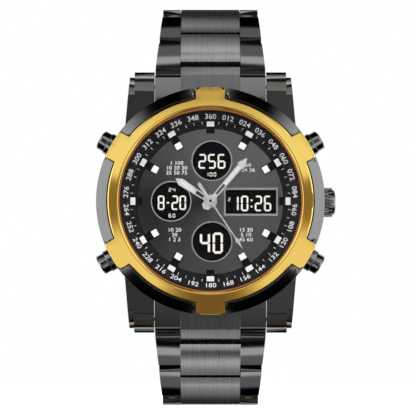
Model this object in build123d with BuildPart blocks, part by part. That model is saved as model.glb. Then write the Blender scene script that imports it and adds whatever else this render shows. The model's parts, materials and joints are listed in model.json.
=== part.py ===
from build123d import *
import os
from math import cos, radians, sin

# Analogue-digital wristwatch with a steel bracelet closed by a folding clasp.
# Millimetres. The dial faces -Y, 12 o'clock is +Z and 3 o'clock is +X.
# The origin is the middle of the case back's outer face. A height h is measured
# from there towards the viewer, so h = -y.

# Everywhere
FIT_GAP = 0.05

# Case
CASE_R = 22.8
CASE_BORE_R = 17.5
DIAL_SEAT_R = 18.5
BACK_T = 1.4
DIAL_H = 8.2
DIAL_T = 0.4
CASE_TOP_H = 9.6
BACK_R = 21.8
SCREW_CIRCLE_R = 20.3
SCREW_R = 0.8
SCREW_HEAD_R = 1.25
SCREW_SEAT_H = 0.8
SCREW_SINK = 0.1
SCREW_DEPTH = 2.6
GASKET_IN_R = 17.9
GASKET_OUT_R = 18.7
GASKET_T = 0.6
BACK_EDGE = 0.4
SPIGOT_IN_R = 16.6
SPIGOT_T = 0.15
SLOT_L = 2.0
SLOT_W = 0.35
SLOT_T = 0.3

# Bezel
BEZEL_R = 24.25
BEZEL_IN_R = 19.5
GOLD_RIM_R = 21.8
GOLD_BASE_H = 11.0
GOLD_TOP_H = 13.0
GOLD_RIM_H = 12.3
INNER_BEVEL_W = 0.5
INNER_BEVEL_DROP = 0.2
BLOCK_IN_H = 12.2
BLOCK_OUT_H = 10.2
TAB_W = 6.1
TAB_REACH_R = 24.15
TAB_GAP = 0.2
BASE_EDGE = 0.5

# Crystal and chapter ring
CRYSTAL_R = 19.2
CRYSTAL_BOTTOM_H = 11.45
CRYSTAL_TOP_H = 13.1
CRYSTAL_EDGE = 0.2
SEAL_T = 1.6
CHAPTER_IN_R = 17.25
CHAPTER_OUT_R = 19.15
CHAPTER_FOOT_H = 9.2
CHAPTER_TOP_H = 11.35
CHAPTER_LIP = 0.1

# Dial windows: centre x, centre z, then radius or half sizes
WINDOW_R = 4.1
WINDOW_FRAME_R = 4.35
ROUND_WINDOWS = [(0.3, 8.66), (-8.35, 0.0), (0.3, -8.6)]
RECT_WINDOW = (8.6, -0.1)
RECT_FRAME_W = 11.5
RECT_FRAME_H = 6.05
RECT_OPEN_W = 10.75
RECT_OPEN_H = 5.1
FRAME_T = 0.3
DIAL_HOLE_R = 1.0
PANEL_R = 16.6
PANEL_HOLE_R = 2.0
PANEL_H = 7.0
PANEL_T = 1.1

# Hour markers
MARKER_W = 1.7
MARKER_T = 0.55
MARKER_OUT_R = 17.1
MARKER_IN_R = 12.9
QUARTER_IN_R = 14.6

# Crown and pushers
STEM_H = 5.6
STEM_R = 0.9
STEM_FOOT_R = 11.9
STEM_L = 12.9
STEM_NECK_R = 0.5
STEM_NECK_L = 0.7
LEVER_T = 0.5
CROWN_TUBE_R = 1.6
CROWN_TUBE_FOOT_R = 17.7
CROWN_TUBE_L = 5.7
CROWN_FOOT_R = 23.6
CROWN_R = 3.15
CROWN_T = 2.4
CROWN_FLUTES = 20
FLUTE_R = 0.3
CROWN_CAP_R = 2.75
CROWN_CAP_T = 0.6
CROWN_SOCKET_T = 1.2
PUSHER_ANGLES = {"2": 30, "10": 150, "8": 210, "4": 330}
PUSHER_TUBE_R = 1.2
PUSHER_TUBE_FOOT_R = 17.8
COLLAR_R = 2.4
COLLAR_FOOT_R = 22.85
COLLAR_END_R = 25.4
CAP_R = 2.15
CAP_END_R = 27.2
CAP_EDGE = 0.3
PUSHER_STEM_R = 0.75
SPRING_R = 1.5
SPRING_WIRE_R = 0.1
COLLAR_FLOOR_R = 23.3
CAP_FOOT_R = 24.3
SPRING_TURNS = 3

# Lugs and bracelet
LUG_IN_X = 11.95
LUG_MID_X = 16.2
LUG_OUT_X = 18.6
LUG_TAPER = [(17.15, 28.2), (18.6, 11.5)]
BAR_Z = 25.0
BAR_H = 4.0
BAR_R = 0.75
BAR_TIP_R = 0.45
BAR_HALF_L = 11.6
BAR_TIP_X = 14.2
BAR_HOLE_X = 14.7
CENTRE_HALF_W = 6.35
EAR_IN_X = 6.47
PITCH = 8.4
LINK_IN = 1.25
LINK_OUT = 2.4
CENTRE_OUT = 2.3
CROWN_DROP = 0.3
LINK_EDGE = 0.3
NEAR_BEVEL = (1.3, 0.6)
KNUCKLE = 1.25
EAR_TOP = 0.6
FLAT_END = 1.45
PIN_R = 0.5
PIN_HOLE_R = 0.54
BRIDGE_OUT = 2.0
END_STEP = 0.7
FIRST_HINGE = (-4.8, 28.0)
LINK_TILTS = [34, 43, 90, 90, 98, 124, 150, 180]

# Half width of the bracelet at each hinge, and at the last link's end
LINK_HALF_WIDTHS = [11.7, 10.95, 10.35, 10.2, 10.1, 10.0, 10.0, 10.0, 10.0]

# Clasp, along the bracelet from the last 12 o'clock link
BLADE_HALF_W = 8.2
BLADE_OUT = -0.6
BLADE_EAR_R = 1.15
MIDDLE_HALF_W = 5.0
HINGE_EAR_OUT_X = 6.2
HINGE_EAR_IN_X = 5.1
CLASP_HINGE_R = 0.85
CLASP_HINGE_T = 0.35
HINGE_1_S = 6.0
HINGE_2_S = 32.0
STRIP_IN = -0.05
STRIP_OUT = 0.75
COVER_HALF_W = 10.0
WALL_IN_X = 8.6
LID_START = 1.5
LID_IN = 1.3
LID_OUT = 2.3
LID_EDGE = 0.3

# Movement
HOLDER_OUT_R = 17.45
HOLDER_IN_R = 16.85
HOLDER_H = 1.6
HOLDER_T = 6.4
PLATE_R = 16.8
PLATE_H = 5.2
PLATE_T = 0.6
LEVER_WINDOW = (14.0, 6.4, 4.4)
POST_R = 0.3
POST_L = 1.0
BOARD_R = 16.5
BOARD_H = 3.9
BOARD_T = 0.4
COIL_SPOT = (9.0, 2.9)
COIL_R = 0.9
COIL_HALF_L = 4.0
CORE_T = 1.2
CORE_W = 3.0
CORE_H = 0.8
BATTERY_SPOT = (-7.0, -5.0)
BATTERY_R = 4.75
BATTERY_H = 1.9
BATTERY_T = 1.9
BATTERY_EDGE = 0.25
STRAP_L = 12.0
STRAP_W = 2.4
STRAP_T = 0.25

# Gear train and hands: heights of their feet and of their pipes' ends
WHEEL_T = 0.2
SECONDS_FOOT_H = 4.45
SECONDS_WHEEL_H = 4.55
SECONDS_END_H = 10.45
CENTRE_WHEEL_H = 4.9
CENTRE_END_H = 10.0
CANNON_H = 5.88
CANNON_T = 0.24
MINUTE_WHEEL_H = 5.9
PINION_H = 6.1
PINION_T = 0.5
HOUR_WHEEL_H = 6.25
HOUR_WHEEL_T = 0.25
HOUR_END_H = 9.4
HOUR_HAND_H = 9.2
MINUTE_HAND_H = 9.75
SECOND_HAND_H = 10.25
HAND_T = 0.2
SECOND_HAND_T = 0.16

# Gear train: radii of the pipes and the wheels
SECONDS_R = 0.2
CENTRE_BORE_R = 0.25
CENTRE_PIPE_R = 0.45
HOUR_BORE_R = 0.5
HOUR_PIPE_R = 0.8
POST_BORE_R = 0.35
CENTRE_WHEEL_R = 3.84
SECONDS_WHEEL_R = 3.3
CENTRE_WHEEL_TEETH = 64
SECONDS_WHEEL_TEETH = 60
TRAIN_DISTANCE = 3.0
TRAIN_ANGLE = 225
CANNON_TEETH = 12
MINUTE_TEETH = 36
PINION_TEETH = 10
HOUR_TEETH = 40
HOUR_HAND_ANGLE = 90 - 303
MINUTE_HAND_ANGLE = 90 - 40.5
SECOND_HAND_ANGLE = 90 - 146
POST = (TRAIN_DISTANCE * cos(radians(TRAIN_ANGLE)), TRAIN_DISTANCE * sin(radians(TRAIN_ANGLE)))

os.makedirs("parts", exist_ok=True)

# Radius to the right, height upwards, to be revolved about the dial's axis
PROFILE = Plane(origin=(0, 0, 0), x_dir=(1, 0, 0), z_dir=(0, 0, -1))


def keep(builder, label):
    """Name a finished piece and write its file."""
    builder.part.label = label
    export_step(builder.part, f"parts/{label}.step")


def keep_group(pieces, label):
    """Name a piece and its pins as one group of separate solids, and write its file."""
    solids = [solid for piece in pieces for solid in piece.solids()]
    export_step(Compound(children=solids, label=label), f"parts/{label}.step")


def face(height):
    """A plane parallel to the dial at a height above the case back."""
    return Plane.XZ.offset(height)


def side(x):
    """A plane across X, with z to the right and height upwards."""
    return Plane(origin=(x, 0, 0), x_dir=(0, 0, 1), z_dir=(1, 0, 0))


def radial(angle, radius, height=STEM_H):
    """A plane square to a spoke of the dial, facing outwards."""
    a = radians(angle)
    origin = (radius * cos(a), -height, radius * sin(a))
    return Plane(origin=origin, x_dir=(-sin(a), 0, cos(a)), z_dir=(cos(a), 0, sin(a)))


def ring(plane, outer, inner=0.0):
    """A round face, with a hole when an inner radius is given."""
    with BuildSketch(plane) as shape:
        Circle(outer)
        if inner:
            Circle(inner, mode=Mode.SUBTRACT)
    return shape.sketch


def spot(plane, centre, radius):
    """A round face away from the plane's origin."""
    with BuildSketch(plane) as shape:
        with Locations(centre):
            Circle(radius)
    return shape.sketch


def block(plane, centre, width, height):
    """A rectangular face away from the plane's origin."""
    with BuildSketch(plane) as shape:
        with Locations(centre):
            Rectangle(width, height)
    return shape.sketch


def outline(plane, points, crest=None):
    """A face inside straight lines through the points, closed by an arc when its crest is given."""
    with BuildSketch(plane) as shape:
        with BuildLine():
            Polyline(*points, close=crest is None)
            if crest is not None:
                ThreePointArc(points[-1], crest, points[0])
        make_face()
    return shape.sketch


def screw_spots(height, radius):
    """Four round faces on the screw circle."""
    with BuildSketch(face(height)) as shape:
        with PolarLocations(SCREW_CIRCLE_R, 4, start_angle=45):
            Circle(radius)
    return shape.sketch


def window_shapes(plane, radius, width, height):
    """The three round windows and the rectangular one."""
    with BuildSketch(plane) as shape:
        with Locations(*ROUND_WINDOWS):
            Circle(radius)
        with Locations(RECT_WINDOW):
            Rectangle(width, height)
    return shape.sketch


def gear(plane, centre, teeth, pitch_r, bore, phase):
    """A wheel with plain wedge teeth; phase is the angle of one tooth."""
    step = 360 / teeth
    root = pitch_r * (1 - 2.4 / teeth)
    tip = pitch_r * (1 + 1.7 / teeth)
    points = []
    for index in range(teeth):
        middle = phase + index * step
        for radius, share in ((root, -0.27), (tip, -0.1), (tip, 0.1), (root, 0.27)):
            a = radians(middle + share * step)
            points.append((centre[0] + radius * cos(a), centre[1] + radius * sin(a)))
    with BuildSketch(plane) as shape:
        with BuildLine():
            Polyline(*points, close=True)
        make_face()
        with Locations(centre):
            Circle(bore, mode=Mode.SUBTRACT)
    return shape.sketch


def make_case_middle():
    """The case body: a barrel with four stepped lugs and all its bores."""
    lug_side = [(27.3, 7.5), (27.85, 6.8), (27.85, 2.8), (26.8, 1.6), (13.5, 1.4), (13.5, 9.4), (23.2, 9.0)]
    lug_crest = (25.34, 8.48)
    ledge_side = [(26.3, 6.6), (26.85, 5.9), (26.85, 3.0), (25.8, 1.8), (11.5, 1.5), (11.5, 8.5), (22.6, 8.1)]
    ledge_crest = (24.53, 7.57)
    (tip_x, tip_z), (root_x, root_z) = LUG_TAPER
    with BuildPart() as case_middle:
        extrude(ring(face(BACK_T), CASE_R), amount=CASE_TOP_H - BACK_T)
        for turn in (1, -1):
            for mirror_x in (1, -1):
                for points, crest, low, high in (
                    (lug_side, lug_crest, LUG_IN_X, LUG_MID_X),
                    (ledge_side, ledge_crest, LUG_MID_X, LUG_OUT_X),
                ):
                    points = [(turn * z, h) for z, h in [*points, crest]]
                    shape = outline(side(mirror_x * low), points[:-1], points[-1])
                    extrude(shape, amount=mirror_x * (high - low))
                taper = [(tip_x, tip_z), (root_x, root_z), (root_x + 2, root_z), (root_x + 2, tip_z)]
                taper = [(mirror_x * x, turn * z) for x, z in taper]
                extrude(outline(face(0), taper), amount=CASE_TOP_H, mode=Mode.SUBTRACT)
        extrude(ring(face(0), CASE_BORE_R), amount=CASE_TOP_H + 1, mode=Mode.SUBTRACT)
        extrude(ring(face(DIAL_H), DIAL_SEAT_R), amount=CASE_TOP_H, mode=Mode.SUBTRACT)
        extrude(ring(face(BACK_T), GASKET_OUT_R, GASKET_IN_R), amount=GASKET_T, mode=Mode.SUBTRACT)
        extrude(screw_spots(BACK_T, SCREW_R), amount=SCREW_DEPTH, mode=Mode.SUBTRACT)
        extrude(ring(radial(0, 15), CROWN_TUBE_R), amount=10, mode=Mode.SUBTRACT)
        for angle in PUSHER_ANGLES.values():
            extrude(ring(radial(angle, 15), PUSHER_TUBE_R), amount=10, mode=Mode.SUBTRACT)
        for turn in (1, -1):
            extrude(spot(side(-BAR_HOLE_X), (turn * BAR_Z, BAR_H), BAR_TIP_R), amount=2 * BAR_HOLE_X,
                    mode=Mode.SUBTRACT)
    keep(case_middle, "case_middle")


def make_bezel():
    """A black base ring with raised segments, and a gold ring with six tabs between them."""
    with BuildPart() as bezel_base:
        extrude(ring(face(CASE_TOP_H), BEZEL_R, BEZEL_IN_R), amount=GOLD_BASE_H - CASE_TOP_H)
        chamfer(bezel_base.edges().filter_by(GeomType.CIRCLE).group_by(Axis.Y)[-1].sort_by(SortBy.RADIUS)[-1],
                BASE_EDGE)
        with BuildSketch(face(GOLD_BASE_H - BASE_EDGE)):
            Circle(BEZEL_R)
            Circle(GOLD_RIM_R + TAB_GAP, mode=Mode.SUBTRACT)
            with PolarLocations(GOLD_RIM_R, 6, start_angle=90):
                Rectangle(6, TAB_W + 2 * TAB_GAP, mode=Mode.SUBTRACT)
        extrude(amount=GOLD_RIM_H - GOLD_BASE_H + BASE_EDGE)
        fall = [(GOLD_RIM_R, GOLD_RIM_H + 0.1), (GOLD_RIM_R, BLOCK_IN_H), (BEZEL_R + 1, BLOCK_OUT_H),
                (BEZEL_R + 1, GOLD_RIM_H + 0.1)]
        revolve(outline(PROFILE, fall), axis=Axis.Y, mode=Mode.SUBTRACT)
    keep(bezel_base, "bezel_base")

    crest = BEZEL_IN_R + INNER_BEVEL_W
    slope = (GOLD_TOP_H - GOLD_RIM_H) / (GOLD_RIM_R - crest)
    section = [(BEZEL_IN_R, GOLD_BASE_H), (GOLD_RIM_R, GOLD_BASE_H), (GOLD_RIM_R, GOLD_RIM_H),
               (crest, GOLD_TOP_H), (BEZEL_IN_R, GOLD_TOP_H - INNER_BEVEL_DROP)]
    above = [(crest, GOLD_TOP_H), (BEZEL_R + 1, GOLD_TOP_H - slope * (BEZEL_R + 1 - crest)),
             (BEZEL_R + 1, GOLD_TOP_H + 0.1), (crest, GOLD_TOP_H + 0.1)]
    with BuildPart() as bezel_top:
        with BuildSketch(face(GOLD_BASE_H)):
            with PolarLocations(GOLD_RIM_R, 6, start_angle=90):
                Rectangle(2 * (BEZEL_R - GOLD_RIM_R), TAB_W)
            Circle(TAB_REACH_R, mode=Mode.INTERSECT)
            Circle(GOLD_RIM_R - 0.2, mode=Mode.SUBTRACT)
        extrude(amount=GOLD_TOP_H - GOLD_BASE_H)
        revolve(outline(PROFILE, above), axis=Axis.Y, mode=Mode.SUBTRACT)
        revolve(outline(PROFILE, section), axis=Axis.Y)
    keep(bezel_top, "bezel_top")


def make_crystal():
    """Crystal, its gasket and the sloping chapter ring below it."""
    with BuildPart() as crystal:
        extrude(ring(face(CRYSTAL_BOTTOM_H), CRYSTAL_R), amount=CRYSTAL_TOP_H - CRYSTAL_BOTTOM_H)
        chamfer(crystal.edges().group_by(Axis.Y)[0], CRYSTAL_EDGE)
    keep(crystal, "crystal")

    with BuildPart() as crystal_gasket:
        extrude(ring(face(GOLD_BASE_H), BEZEL_IN_R, CRYSTAL_R), amount=SEAL_T)
    keep(crystal_gasket, "crystal_gasket")

    seat_r = DIAL_SEAT_R - FIT_GAP
    section = [(CHAPTER_IN_R, DIAL_H + DIAL_T), (seat_r, DIAL_H + DIAL_T), (seat_r, CASE_TOP_H),
               (CHAPTER_OUT_R, CASE_TOP_H), (CHAPTER_OUT_R, CHAPTER_TOP_H),
               (CHAPTER_OUT_R - CHAPTER_LIP, CHAPTER_TOP_H), (CHAPTER_IN_R, CHAPTER_FOOT_H)]
    with BuildPart() as chapter_ring:
        revolve(outline(PROFILE, section), axis=Axis.Y)
    keep(chapter_ring, "chapter_ring")


def make_dial():
    """Dial, its raised markers, the window frames and the display behind it."""
    with BuildPart() as dial:
        extrude(ring(face(DIAL_H), DIAL_SEAT_R - FIT_GAP, DIAL_HOLE_R), amount=DIAL_T)
        extrude(window_shapes(face(DIAL_H), WINDOW_R, RECT_OPEN_W, RECT_OPEN_H), amount=DIAL_T,
                mode=Mode.SUBTRACT)
    keep(dial, "dial")

    with BuildPart() as hour_markers:
        for hour in range(12):
            inner = MARKER_IN_R if hour % 3 else QUARTER_IN_R
            with BuildSketch(face(DIAL_H + DIAL_T)):
                with PolarLocations((MARKER_OUT_R + inner) / 2, 1, start_angle=90 - 30 * hour):
                    Rectangle(MARKER_OUT_R - inner, MARKER_W)
            extrude(amount=MARKER_T)
    keep(hour_markers, "hour_markers")

    with BuildPart() as window_frames:
        frames = face(DIAL_H + DIAL_T)
        extrude(window_shapes(frames, WINDOW_FRAME_R, RECT_FRAME_W, RECT_FRAME_H), amount=FRAME_T)
        extrude(window_shapes(frames, WINDOW_R, RECT_OPEN_W, RECT_OPEN_H), amount=FRAME_T, mode=Mode.SUBTRACT)
    keep(window_frames, "window_frames")

    with BuildPart() as display_panel:
        extrude(ring(face(PANEL_H), PANEL_R, PANEL_HOLE_R), amount=PANEL_T)
    keep(display_panel, "display_panel")


def make_movement():
    """Holder ring, main plate, circuit board, motor coil, battery and its strap."""
    with BuildPart() as movement_holder:
        extrude(ring(face(HOLDER_H), HOLDER_OUT_R, HOLDER_IN_R), amount=HOLDER_T)
        for angle in [0, *PUSHER_ANGLES.values()]:
            extrude(ring(radial(angle, 15), 1.1), amount=4, mode=Mode.SUBTRACT)
    keep(movement_holder, "movement_holder")

    window_x, window_l, window_w = LEVER_WINDOW
    with BuildPart() as movement_plate:
        extrude(ring(face(PLATE_H), PLATE_R, HOUR_BORE_R), amount=PLATE_T)
        extrude(block(face(PLATE_H), (window_x, 0), window_l, window_w), amount=PLATE_T, mode=Mode.SUBTRACT)
        extrude(spot(face(PLATE_H + PLATE_T), POST, POST_R), amount=POST_L)
    keep(movement_plate, "movement_plate")

    with BuildPart() as circuit_board:
        extrude(ring(face(BOARD_H), BOARD_R), amount=BOARD_T)
    keep(circuit_board, "circuit_board")

    with BuildPart() as stepper_motor:
        extrude(spot(side(-COIL_HALF_L), COIL_SPOT, COIL_R), amount=2 * COIL_HALF_L)
        for x in (-COIL_HALF_L - CORE_T, COIL_HALF_L):
            extrude(block(side(x), COIL_SPOT, CORE_W, CORE_H), amount=CORE_T)
    keep(stepper_motor, "stepper_motor")

    with BuildPart() as battery:
        extrude(spot(face(BATTERY_H), BATTERY_SPOT, BATTERY_R), amount=BATTERY_T)
        chamfer(battery.edges().filter_by(GeomType.CIRCLE), BATTERY_EDGE)
    keep(battery, "battery")

    with BuildPart() as battery_strap:
        extrude(block(face(BATTERY_H - STRAP_T), BATTERY_SPOT, STRAP_L, STRAP_W), amount=STRAP_T)
    keep(battery_strap, "battery_strap")


def make_train():
    """Coaxial arbors for the three hands and the reduction wheel beside them."""
    share = TRAIN_DISTANCE / (CANNON_TEETH + MINUTE_TEETH)
    cannon_r = share * CANNON_TEETH
    minute_r = share * MINUTE_TEETH
    share = TRAIN_DISTANCE / (PINION_TEETH + HOUR_TEETH)
    pinion_r = share * PINION_TEETH
    hour_r = share * HOUR_TEETH
    middle = (0, 0)
    with BuildPart() as centre_wheel:
        foot = face(CENTRE_WHEEL_H)
        extrude(gear(foot, middle, CENTRE_WHEEL_TEETH, CENTRE_WHEEL_R, CENTRE_BORE_R, 0), amount=WHEEL_T)
        extrude(ring(foot, CENTRE_PIPE_R, CENTRE_BORE_R), amount=CENTRE_END_H - CENTRE_WHEEL_H)
        pinion = gear(face(CANNON_H), middle, CANNON_TEETH, cannon_r, CENTRE_BORE_R, TRAIN_ANGLE)
        extrude(pinion, amount=CANNON_T)
    keep(centre_wheel, "centre_wheel")

    gap_phase = TRAIN_ANGLE + 180 + 180 / MINUTE_TEETH
    with BuildPart() as minute_wheel:
        wheel = gear(face(MINUTE_WHEEL_H), POST, MINUTE_TEETH, minute_r, POST_BORE_R, gap_phase)
        extrude(wheel, amount=WHEEL_T)
        pinion = gear(face(PINION_H), POST, PINION_TEETH, pinion_r, POST_BORE_R, TRAIN_ANGLE + 180)
        extrude(pinion, amount=PINION_T)
    keep(minute_wheel, "minute_wheel")

    gap_phase = TRAIN_ANGLE + 180 / HOUR_TEETH
    with BuildPart() as hour_wheel:
        foot = face(HOUR_WHEEL_H)
        extrude(gear(foot, middle, HOUR_TEETH, hour_r, HOUR_BORE_R, gap_phase), amount=HOUR_WHEEL_T)
        extrude(ring(foot, HOUR_PIPE_R, HOUR_BORE_R), amount=HOUR_END_H - HOUR_WHEEL_H)
    keep(hour_wheel, "hour_wheel")

    with BuildPart() as seconds_wheel:
        wheel = gear(face(SECONDS_WHEEL_H), middle, SECONDS_WHEEL_TEETH, SECONDS_WHEEL_R, SECONDS_R, 0)
        extrude(wheel, amount=WHEEL_T)
        extrude(ring(face(SECONDS_FOOT_H), SECONDS_R), amount=SECONDS_END_H - SECONDS_FOOT_H)
    keep(seconds_wheel, "seconds_wheel")


def hand_shapes(plane, angle, shapes, windows, hub, bore):
    """A flat hand drawn along its own length, then turned to its angle."""
    origin = plane.origin
    turned = Plane(origin=origin, x_dir=(cos(radians(angle)), 0, sin(radians(angle))), z_dir=(0, -1, 0))
    with BuildSketch(turned) as shape:
        Circle(hub)
        for points in shapes:
            with BuildLine():
                Polyline(*points, close=True)
            make_face()
        for points in windows:
            with BuildLine():
                Polyline(*points, close=True)
            make_face(mode=Mode.SUBTRACT)
        Circle(bore, mode=Mode.SUBTRACT)
    return shape.sketch


def make_hands():
    """Hour, minute and second hand, each pressed on its own arbor."""
    blade = [(0.8, -0.55), (7.6, -0.8), (8.9, 0), (7.6, 0.8), (0.8, 0.55)]
    slot = [(1.7, -0.3), (3.6, -0.36), (3.6, 0.36), (1.7, 0.3)]
    with BuildPart() as hour_hand:
        shape = hand_shapes(face(HOUR_HAND_H), HOUR_HAND_ANGLE, [blade], [slot], 1.45, HOUR_PIPE_R)
        extrude(shape, amount=HAND_T)
    keep(hour_hand, "hour_hand")

    blade = [(0.6, -0.5), (9.9, -0.6), (9.9, -1.0), (12.1, 0), (9.9, 1.0), (9.9, 0.6), (0.6, 0.5)]
    slot = [(1.9, -0.26), (4.6, -0.3), (4.6, 0.3), (1.9, 0.26)]
    tail = [(-0.5, -0.6), (-0.9, -0.95), (-1.7, -0.95), (-2.25, 0), (-1.7, 0.95), (-0.9, 0.95), (-0.5, 0.6)]
    with BuildPart() as minute_hand:
        shapes = [blade, tail]
        shape = hand_shapes(face(MINUTE_HAND_H), MINUTE_HAND_ANGLE, shapes, [slot], 1.15, CENTRE_PIPE_R)
        extrude(shape, amount=HAND_T)
    keep(minute_hand, "minute_hand")

    needle = [(0, -0.15), (9.4, -0.12), (10.2, -0.45), (11.4, -0.12), (12.46, 0), (11.4, 0.12), (10.2, 0.45),
              (9.4, 0.12), (0, 0.15)]
    tail = [(0, -0.2), (-4.5, -0.4), (-4.5, 0.4), (0, 0.2)]
    with BuildPart() as second_hand:
        shape = hand_shapes(face(SECOND_HAND_H), SECOND_HAND_ANGLE, [needle, tail], [], 0.8, SECONDS_R)
        extrude(shape, amount=SECOND_HAND_T)
    keep(second_hand, "second_hand")


def make_back():
    """Case back, its gasket and four screws."""
    with BuildPart() as case_back:
        extrude(ring(face(0), BACK_R), amount=BACK_T)
        chamfer(case_back.edges().group_by(Axis.Y)[-1], BACK_EDGE)
        extrude(ring(face(BACK_T), CASE_BORE_R - FIT_GAP, SPIGOT_IN_R), amount=SPIGOT_T)
        extrude(screw_spots(0, SCREW_HEAD_R), amount=SCREW_SEAT_H, mode=Mode.SUBTRACT)
        extrude(screw_spots(0, SCREW_R), amount=BACK_T, mode=Mode.SUBTRACT)
    keep(case_back, "case_back")

    with BuildPart() as case_back_gasket:
        extrude(ring(face(BACK_T), GASKET_OUT_R, GASKET_IN_R), amount=GASKET_T)
    keep(case_back_gasket, "case_back_gasket")

    with BuildPart() as case_back_screws:
        extrude(screw_spots(SCREW_SINK, SCREW_HEAD_R), amount=SCREW_SEAT_H - SCREW_SINK)
        extrude(screw_spots(SCREW_SEAT_H, SCREW_R), amount=BACK_T - SCREW_SEAT_H + SCREW_DEPTH - 0.2)
        with BuildSketch(face(SCREW_SINK)):
            with PolarLocations(SCREW_CIRCLE_R, 4, start_angle=45):
                Rectangle(SLOT_L, SLOT_W)
        extrude(amount=SLOT_T, mode=Mode.SUBTRACT)
    keep(case_back_screws, "case_back_screws")


def make_crown():
    """Crown, its tube in the case wall, the stem and the lever that it pulls."""
    with BuildPart() as crown_tube:
        extrude(ring(radial(0, CROWN_TUBE_FOOT_R), CROWN_TUBE_R, STEM_R + FIT_GAP), amount=CROWN_TUBE_L)
    keep(crown_tube, "crown_tube")

    with BuildPart() as crown:
        with BuildSketch(radial(0, CROWN_FOOT_R)):
            Circle(CROWN_R)
            with PolarLocations(CROWN_R + FLUTE_R / 4, CROWN_FLUTES):
                Circle(FLUTE_R, mode=Mode.SUBTRACT)
        extrude(amount=CROWN_T)
        extrude(ring(radial(0, CROWN_FOOT_R + CROWN_T), CROWN_CAP_R), amount=CROWN_CAP_T)
        chamfer(crown.faces().sort_by(Axis.X)[-1].edges(), CROWN_CAP_T / 2)
        extrude(ring(radial(0, CROWN_FOOT_R), STEM_R), amount=CROWN_SOCKET_T, mode=Mode.SUBTRACT)
    keep(crown, "crown")

    neck_r = STEM_FOOT_R + STEM_R
    with BuildPart() as winding_stem:
        extrude(ring(radial(0, STEM_FOOT_R), STEM_R), amount=STEM_L)
        extrude(ring(radial(0, neck_r), STEM_R, STEM_NECK_R), amount=STEM_NECK_L, mode=Mode.SUBTRACT)
    keep(winding_stem, "winding_stem")

    with BuildPart() as setting_lever:
        with BuildSketch(radial(0, neck_r + 0.1)):
            Rectangle(3.0, 2.2)
            with Locations((0.75, 0)):
                Rectangle(2.6, 2 * STEM_NECK_R + 0.1, mode=Mode.SUBTRACT)
        extrude(amount=LEVER_T)
    keep(setting_lever, "setting_lever")


def spring_turns(angle):
    """A coil spring standing in a pusher's collar."""
    foot = radial(angle, COLLAR_FLOOR_R + SPRING_WIRE_R)
    height = CAP_FOOT_R - COLLAR_FLOOR_R - 2.5 * SPRING_WIRE_R
    with BuildPart() as spring:
        with BuildLine() as path:
            Helix(pitch=height / SPRING_TURNS, height=height, radius=SPRING_R, center=foot.origin,
                  direction=foot.z_dir)
        with BuildSketch(Plane(origin=path.line @ 0, z_dir=path.line % 0)):
            Circle(SPRING_WIRE_R)
        sweep(is_frenet=True)
    return spring.part


def make_pushers():
    """Four pushers, each a cap and stem in a fixed collar with a return spring."""
    with BuildPart() as pusher_tubes:
        for angle in PUSHER_ANGLES.values():
            tube_l = COLLAR_FOOT_R - PUSHER_TUBE_FOOT_R + FIT_GAP
            extrude(ring(radial(angle, PUSHER_TUBE_FOOT_R), PUSHER_TUBE_R), amount=tube_l)
            extrude(ring(radial(angle, COLLAR_FOOT_R), COLLAR_R), amount=COLLAR_END_R - COLLAR_FOOT_R)
            extrude(ring(radial(angle, COLLAR_FLOOR_R), CAP_R + FIT_GAP), amount=3, mode=Mode.SUBTRACT)
            extrude(ring(radial(angle, 17), PUSHER_STEM_R + FIT_GAP), amount=8, mode=Mode.SUBTRACT)
    keep(pusher_tubes, "pusher_tubes")

    with BuildPart() as pusher_springs:
        for angle in PUSHER_ANGLES.values():
            add(spring_turns(angle))
    keep(pusher_springs, "pusher_springs")

    for hour, angle in PUSHER_ANGLES.items():
        with BuildPart() as pusher:
            extrude(ring(radial(angle, CAP_FOOT_R), CAP_R), amount=CAP_END_R - CAP_FOOT_R)
            rim = pusher.edges().filter_by(GeomType.CIRCLE).sort_by_distance(radial(angle, 30).origin)[0]
            chamfer(rim, CAP_EDGE)
            stem_foot = PUSHER_TUBE_FOOT_R + 0.1
            extrude(ring(radial(angle, stem_foot), PUSHER_STEM_R), amount=CAP_FOOT_R - stem_foot + 0.1)
        keep(pusher, f"pusher_{hour}")


def link_plane(index, half, x=0.0):
    """Plane along a link: s to the right, outwards upwards, facing +X or -X."""
    y, z = link_hinge(index)
    a = radians(LINK_TILTS[index] if index < len(LINK_TILTS) else 180)
    # s runs (sin, cos) in (y, z), and outwards is (-cos, sin)
    return Plane(origin=(x, y, half * z), x_dir=(0, sin(a), half * cos(a)), z_dir=(half, 0, 0))


def link_hinge(index):
    """The hinge point (y, z) that starts a link of the 12 o'clock half."""
    y, z = FIRST_HINGE
    for tilt in LINK_TILTS[:index]:
        y += PITCH * sin(radians(tilt))
        z += PITCH * cos(radians(tilt))
    return y, z


def slab(index, half, points, low, high, knuckle_s=None, knuckle_r=KNUCKLE, knuckle_t=0.0, crest=None):
    """A profile along a link between two distances from the middle plane, on +X or -X.

    Its last and first points are joined straight, or by an arc through the crest when one is given.
    """
    with BuildPart() as piece:
        with BuildSketch(link_plane(index, half, half * low)):
            with BuildLine():
                Polyline(*points, close=crest is None)
                if crest is not None:
                    ThreePointArc(points[-1], crest, points[0])
            make_face()
            if knuckle_s is not None:
                with Locations((knuckle_s, knuckle_t)):
                    Circle(knuckle_r)
        extrude(amount=high - low)
    return piece.part


def rod(index, half, s, t, radius, low, high):
    """A round bar or hole along X in a link's frame."""
    with BuildPart() as piece:
        with BuildSketch(link_plane(index, half, half * low)):
            with Locations((s, t)):
                Circle(radius)
        extrude(amount=high - low)
    return piece.part


def crowned(near, far, top, bevel):
    """The corners of a link's outer face at its near and far ends, and the crest of the arc between them."""
    run, drop = bevel
    shoulder = top - CROWN_DROP
    near_end = [(near + run, shoulder), (near, shoulder - drop)]
    far_end = [(far, shoulder - LINK_EDGE), (far - LINK_EDGE, shoulder)]
    return near_end, far_end, ((near + run + far - LINK_EDGE) / 2, top)


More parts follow.
